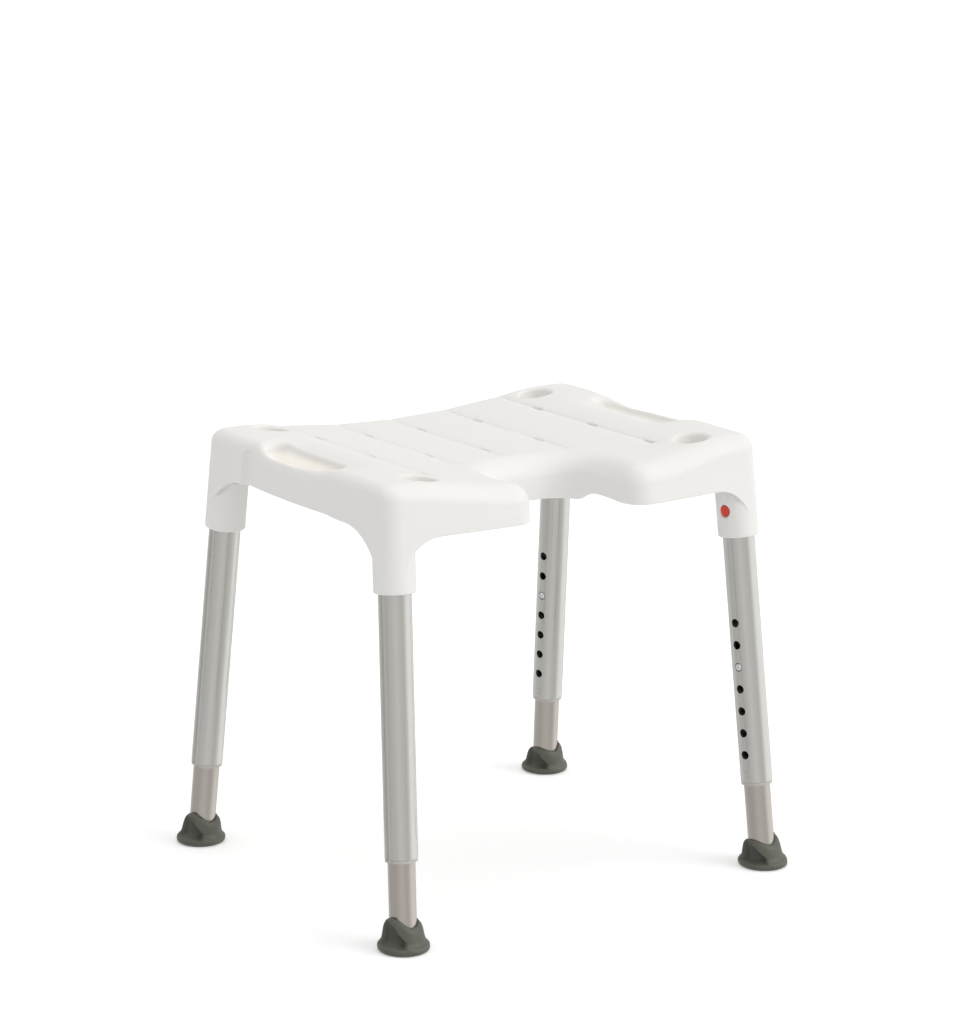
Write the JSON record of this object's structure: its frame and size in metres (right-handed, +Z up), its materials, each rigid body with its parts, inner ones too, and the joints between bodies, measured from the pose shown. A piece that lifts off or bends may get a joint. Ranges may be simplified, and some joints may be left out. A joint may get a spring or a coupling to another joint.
{
  "type": "shower stool",
  "caption": "Height-adjustable shower stool: moulded seat with a front cut-out, side hand slots and corner cups on splayed telescopic legs with rubber feet.",
  "frame": {"origin": "on the floor, in the middle between the four feet", "axes": "+Z up; the front edge with the cut-out faces -Y; +X is the right side of a sitting user's seat as seen from above with the cut-out towards the viewer"},
  "size_m": [0.5356, 0.4748, 0.4862],
  "materials": {
    "seat_plastic": "white, blow-moulded look, very fine satin grain",
    "leg_tube": "satin anodised",
    "extension_tube": "satin anodised, warm grey",
    "bush_plastic": "moulded, warm light grey",
    "foot_rubber": "matt olive grey rubber",
    "pin_steel": "polished",
    "button_plastic": "red, smooth",
    "spring_steel": "spring strip, brushed"
  },
  "bodies": {
    "seat_frame": {"seat": "seat_plastic", "leg_tube_front_left": "leg_tube", "guide_bush_front_left": "bush_plastic", "release_spring_front_left": "spring_steel", "leg_tube_front_right": "leg_tube", "guide_bush_front_right": "bush_plastic", "release_spring_front_right": "spring_steel", "leg_tube_rear_left": "leg_tube", "guide_bush_rear_left": "bush_plastic", "release_spring_rear_left": "spring_steel", "leg_tube_rear_right": "leg_tube", "guide_bush_rear_right": "bush_plastic", "release_spring_rear_right": "spring_steel"},
    "extension_front_left": {"extension_tube_front_left": "extension_tube", "foot_front_left": "foot_rubber", "pin_spring_front_left": "spring_steel"},
    "snap_pin_front_left": {"height_pin_front_left": "pin_steel"},
    "button_front_left": {"release_button_front_left": "button_plastic"},
    "extension_front_right": {"extension_tube_front_right": "extension_tube", "foot_front_right": "foot_rubber", "pin_spring_front_right": "spring_steel"},
    "snap_pin_front_right": {"height_pin_front_right": "pin_steel"},
    "button_front_right": {"release_button_front_right": "button_plastic"},
    "extension_rear_left": {"extension_tube_rear_left": "extension_tube", "foot_rear_left": "foot_rubber", "pin_spring_rear_left": "spring_steel"},
    "snap_pin_rear_left": {"height_pin_rear_left": "pin_steel"},
    "button_rear_left": {"release_button_rear_left": "button_plastic"},
    "extension_rear_right": {"extension_tube_rear_right": "extension_tube", "foot_rear_right": "foot_rubber", "pin_spring_rear_right": "spring_steel"},
    "snap_pin_rear_right": {"height_pin_rear_right": "pin_steel"},
    "button_rear_right": {"release_button_rear_right": "button_plastic"}
  },
  "joints": [
    {"name": "height_front_left", "type": "slide", "parent": "seat_frame", "child": "extension_front_left", "axis": [-0.0388, -0.1028, -0.9939], "range_m": [-0.05, 0.1]},
    {"name": "pin_press_front_left", "type": "slide", "parent": "extension_front_left", "child": "snap_pin_front_left", "axis": [-0.9732, -0.2218, 0.0609], "range_m": [0, 0.0045], "stiffness_N_per_m": 1500, "springref_m": -0.002, "deforming": ["pin_spring_front_left"]},
    {"name": "button_press_front_left", "type": "slide", "parent": "seat_frame", "child": "button_front_left", "axis": [-0.9732, -0.2218, 0.0609], "range_m": [0, 0.0045], "stiffness_N_per_m": 1500, "springref_m": -0.002, "deforming": ["release_spring_front_left"]},
    {"name": "height_front_right", "type": "slide", "parent": "seat_frame", "child": "extension_front_right", "axis": [0.0388, -0.1028, -0.9939], "range_m": [-0.05, 0.1]},
    {"name": "pin_press_front_right", "type": "slide", "parent": "extension_front_right", "child": "snap_pin_front_right", "axis": [0.9741, 0.2257, 0.0147], "range_m": [0, 0.0045], "stiffness_N_per_m": 1500, "springref_m": -0.002, "deforming": ["pin_spring_front_right"]},
    {"name": "button_press_front_right", "type": "slide", "parent": "seat_frame", "child": "button_front_right", "axis": [0.9741, 0.2257, 0.0147], "range_m": [0, 0.0045], "stiffness_N_per_m": 1500, "springref_m": -0.002, "deforming": ["release_spring_front_right"]},
    {"name": "height_rear_left", "type": "slide", "parent": "seat_frame", "child": "extension_rear_left", "axis": [-0.0388, 0.1028, -0.9939], "range_m": [-0.05, 0.1]},
    {"name": "pin_press_rear_left", "type": "slide", "parent": "extension_rear_left", "child": "snap_pin_rear_left", "axis": [-0.9741, -0.2257, 0.0147], "range_m": [0, 0.0045], "stiffness_N_per_m": 1500, "springref_m": -0.002, "deforming": ["pin_spring_rear_left"]},
    {"name": "button_press_rear_left", "type": "slide", "parent": "seat_frame", "child": "button_rear_left", "axis": [-0.9741, -0.2257, 0.0147], "range_m": [0, 0.0045], "stiffness_N_per_m": 1500, "springref_m": -0.002, "deforming": ["release_spring_rear_left"]},
    {"name": "height_rear_right", "type": "slide", "parent": "seat_frame", "child": "extension_rear_right", "axis": [0.0388, 0.1028, -0.9939], "range_m": [-0.05, 0.1]},
    {"name": "pin_press_rear_right", "type": "slide", "parent": "extension_rear_right", "child": "snap_pin_rear_right", "axis": [0.9732, 0.2218, 0.0609], "range_m": [0, 0.0045], "stiffness_N_per_m": 1500, "springref_m": -0.002, "deforming": ["pin_spring_rear_right"]},
    {"name": "button_press_rear_right", "type": "slide", "parent": "seat_frame", "child": "button_rear_right", "axis": [0.9732, 0.2218, 0.0609], "range_m": [0, 0.0045], "stiffness_N_per_m": 1500, "springref_m": -0.002, "deforming": ["release_spring_rear_right"]}
  ]
}
